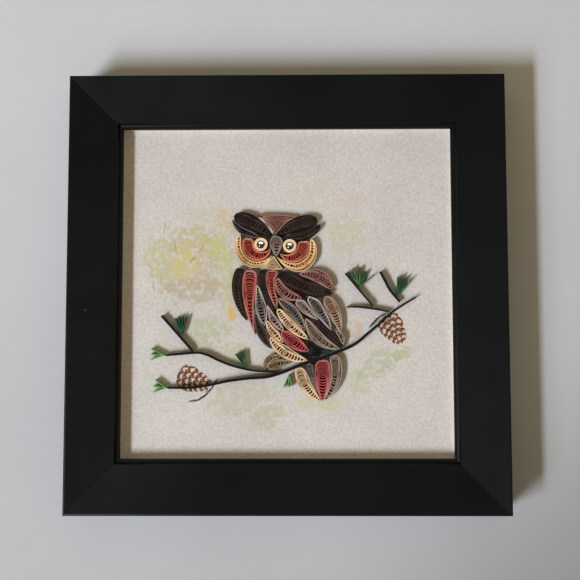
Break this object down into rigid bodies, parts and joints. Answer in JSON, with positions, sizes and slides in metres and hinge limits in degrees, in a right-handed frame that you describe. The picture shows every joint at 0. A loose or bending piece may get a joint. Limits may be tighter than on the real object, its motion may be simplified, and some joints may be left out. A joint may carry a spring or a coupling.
{
  "type": "framed quilled paper art",
  "caption": "Quilled paper owl on a pine branch, strips on edge glued to a washed card, in a square black shadow frame with a hanger on its back.",
  "frame": {"origin": "centre of the frame's back plane, which is the bottom centre of its bounding box", "axes": "+X to the right of the picture, +Y up the picture, +Z out of its front; it lies on its back"},
  "size_m": [0.2032, 0.2032, 0.022],
  "materials": {
    "rails": "satin black paint",
    "spacer": "matt, cream mount board",
    "printed_card": "matt, watercolour paper with a pale wash",
    "backing": "matt, brown fibre board",
    "steel": "bright zinc",
    "bead": "polished black",
    "paper_bark": "matt dark brown",
    "paper_dark_green": "matt dark green",
    "paper_green": "matt green",
    "paper_black": "matt black",
    "paper_cream": "matt cream",
    "paper_gold": "matt golden cream",
    "paper_brick": "matt brick red",
    "paper_crimson": "matt crimson",
    "paper_mauve": "matt mauve",
    "paper_pale_pink": "matt greyish pink",
    "paper_grey": "matt blue-grey",
    "paper_taupe": "matt taupe"
  },
  "bodies": {
    "root": {"rail_bottom": "rails", "rail_right": "rails", "rail_top": "rails", "rail_left": "rails", "spacer_strips": "spacer", "art_card": "printed_card", "backing_board": "backing", "hanger": "steel", "hanger_rivets": "steel", "board_points": "steel", "corner_nails": "steel", "eye_beads": "bead", "branch_main": "paper_bark", "branch_left": "paper_bark", "twigs": "paper_bark", "needles_right": "paper_dark_green", "needles_left": "paper_green", "left_brow_upper": "paper_black", "left_brow_lower": "paper_black", "right_brow_upper": "paper_black", "right_brow_lower": "paper_black", "wing_black": "paper_black", "wing_black_lower": "paper_black", "breast_black": "paper_black", "shoulder_black": "paper_black", "feather_black": "paper_black", "belly_black": "paper_black", "belly_black_lower": "paper_black", "eye_rolls": "paper_cream", "chin_coil": "paper_cream", "feather_cream_upper": "paper_cream", "feather_cream_middle": "paper_cream", "feather_cream_lower": "paper_cream", "tail_cream": "paper_cream", "left_cheek_outer": "paper_gold", "right_cheek_outer": "paper_gold", "left_cheek_inner": "paper_brick", "right_cheek_inner": "paper_brick", "breast_red": "paper_brick", "wing_red": "paper_brick", "feather_red": "paper_crimson", "tail_red": "paper_crimson", "crown_coil": "paper_mauve", "breast_mauve": "paper_mauve", "shoulder_mauve": "paper_mauve", "crown_band": "paper_pale_pink", "feather_pale": "paper_pale_pink", "beak_coil": "paper_grey", "wing_grey": "paper_grey", "feather_grey_middle": "paper_grey", "feather_grey_right": "paper_grey", "tail_grey": "paper_grey", "feather_tan": "paper_taupe", "feather_taupe": "paper_taupe", "feather_taupe_left": "paper_taupe", "feather_taupe_right": "paper_taupe", "tail_taupe": "paper_taupe", "foot_lower": "paper_taupe", "foot_upper": "paper_taupe"}
  },
  "joints": []
}
